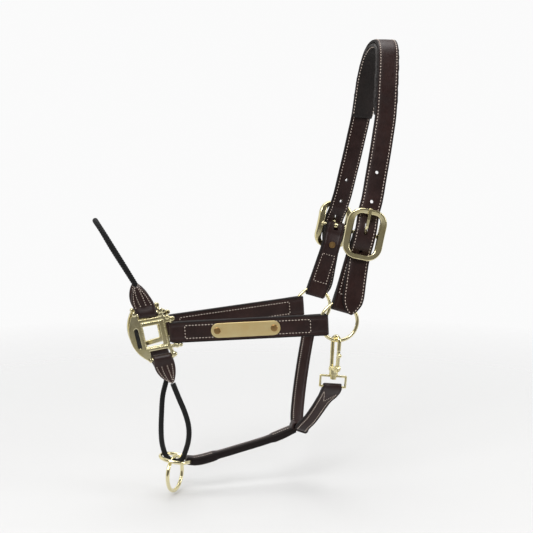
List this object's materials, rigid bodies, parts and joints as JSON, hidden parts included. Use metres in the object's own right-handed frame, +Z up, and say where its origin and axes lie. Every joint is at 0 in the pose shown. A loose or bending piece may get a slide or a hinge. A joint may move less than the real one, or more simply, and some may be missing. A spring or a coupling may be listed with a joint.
{
  "type": "leather headcollar",
  "caption": "Dark leather horse headcollar with padded crown, brass buckles, rings, halter squares and snap, and a braided rope noseband.",
  "frame": {"origin": "poll rest: the inside of the crown's padded lining at the top of the horse's head", "axes": "+Z up along the hanging headcollar, +X from the nose towards the poll, -Y towards the near (left) side"},
  "size_m": [0.3605, 0.149, 0.5367],
  "materials": {
    "polished_brass": "polished",
    "brushed_brass": "satin brushed",
    "antique_brass": "antique",
    "strap_leather": "smooth waxed",
    "padding_leather": "soft matt",
    "braided_rope": "braided cord",
    "black_enamel": "gloss enamel",
    "spring_steel": "bright wire"
  },
  "bodies": {
    "head_straps": {"crown_strap": "strap_leather", "near_cheek_billet": "strap_leather", "off_cheek_billet": "strap_leather", "near_cheek_strap": "strap_leather", "off_cheek_strap": "strap_leather", "near_nose_tab": "strap_leather", "off_nose_tab": "strap_leather", "near_chin_tab": "strap_leather", "off_chin_tab": "strap_leather", "jaw_strap": "strap_leather", "throat_strap": "strap_leather", "crown_padding": "padding_leather", "nose_rope": "braided_rope", "chin_rope": "braided_rope", "near_buckle_frame": "polished_brass", "off_buckle_frame": "polished_brass", "near_halter_square": "polished_brass", "off_halter_square": "polished_brass", "near_square_inlay": "black_enamel", "off_square_inlay": "black_enamel", "name_plate": "brushed_brass", "name_plate_rivets": "antique_brass", "near_billet_rivet": "antique_brass", "off_billet_rivet": "antique_brass", "snap_loop": "polished_brass"},
    "near_tongue": {"near_buckle_tongue": "polished_brass"},
    "off_tongue": {"off_buckle_tongue": "polished_brass"},
    "near_ring": {"near_cheek_ring": "polished_brass"},
    "off_ring": {"off_cheek_ring": "polished_brass"},
    "chin_ring": {"chin_ring": "polished_brass"},
    "lead_ring": {"lead_ring": "polished_brass"},
    "snap": {"snap_hook": "polished_brass", "snap_gate_pin": "polished_brass", "snap_swivel_pin": "polished_brass", "snap_gate_spring": "spring_steel"},
    "gate": {"snap_gate": "polished_brass"}
  },
  "joints": [
    {"name": "near_tongue_lift", "type": "hinge", "parent": "head_straps", "child": "near_tongue", "pos_m": [-0.0395, -0.0625, -0.2165], "axis": [0.9633, -0.1736, -0.2048], "range_deg": [0, 7]},
    {"name": "off_tongue_lift", "type": "hinge", "parent": "head_straps", "child": "off_tongue", "pos_m": [-0.0395, 0.0625, -0.2165], "axis": [-0.9633, -0.1736, 0.2048], "range_deg": [0, 7]},
    {"name": "near_ring_turn", "type": "hinge", "parent": "head_straps", "child": "near_ring", "pos_m": [-0.068, -0.06, -0.318], "axis": [0, 1, 0], "continuous": true},
    {"name": "off_ring_turn", "type": "hinge", "parent": "head_straps", "child": "off_ring", "pos_m": [-0.068, 0.06, -0.318], "axis": [0, 1, 0], "continuous": true},
    {"name": "chin_ring_turn", "type": "hinge", "parent": "head_straps", "child": "chin_ring", "pos_m": [-0.2525, 0, -0.487], "axis": [0.184, 0, 0.9829], "continuous": true},
    {"name": "lead_ring_swing", "type": "hinge", "parent": "head_straps", "child": "lead_ring", "pos_m": [-0.2534, -0.0014, -0.4845], "axis": [0.5299, 0.848, 0], "range_deg": [-12, 25]},
    {"name": "snap_swivel", "type": "hinge", "parent": "head_straps", "child": "snap", "pos_m": [-0.0742, -0.06, -0.38], "axis": [0.0767, 0, 0.9971], "range_deg": [-45, 5]},
    {"name": "gate_press", "type": "hinge", "parent": "snap", "child": "gate", "pos_m": [-0.07137, -0.06516, -0.37169], "axis": [-0.9182, -0.3898, 0.0707], "range_deg": [0, 16], "stiffness_Nm_per_rad": 0.05, "springref_deg": -11.46}
  ]
}
